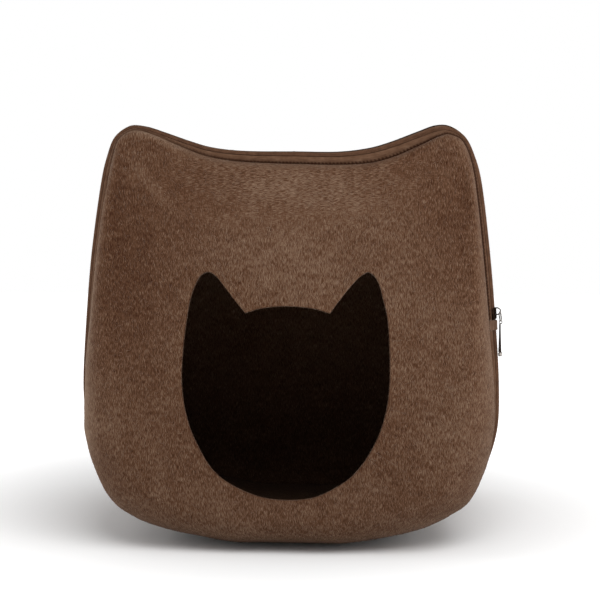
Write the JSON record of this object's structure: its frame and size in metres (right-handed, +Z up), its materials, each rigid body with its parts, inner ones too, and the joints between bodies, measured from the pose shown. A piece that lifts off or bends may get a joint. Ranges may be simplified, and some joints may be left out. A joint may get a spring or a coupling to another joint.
{
  "type": "felt cat cave",
  "caption": "Soft felt box shaped like a cat's head, with a cat-head doorway in its domed front, a zip round the front edge and a flat underside.",
  "frame": {"origin": "middle of the flat underside, on the floor", "axes": "+Z up, -Y out of the doorway, +X to the right of someone facing the doorway"},
  "size_m": [0.4052, 0.3649, 0.4047],
  "materials": {
    "felt": "matte brown heather needle felt with short loose fibres",
    "zip_tape": "brown woven tape, slightly smoother than the felt",
    "zip_coil": "dark brown nylon coil",
    "zip_tab": "light brown cloth with frayed ends",
    "zip_metal": "bright plated metal"
  },
  "bodies": {
    "root": {"front_panel": "felt", "side_wall": "felt", "back_panel": "felt", "zip_tape_front": "zip_tape", "zip_tape_rear": "zip_tape", "zip_coil": "zip_coil", "zip_tab": "zip_tab", "zip_slider": "zip_metal", "zip_pull": "zip_metal"}
  },
  "joints": []
}
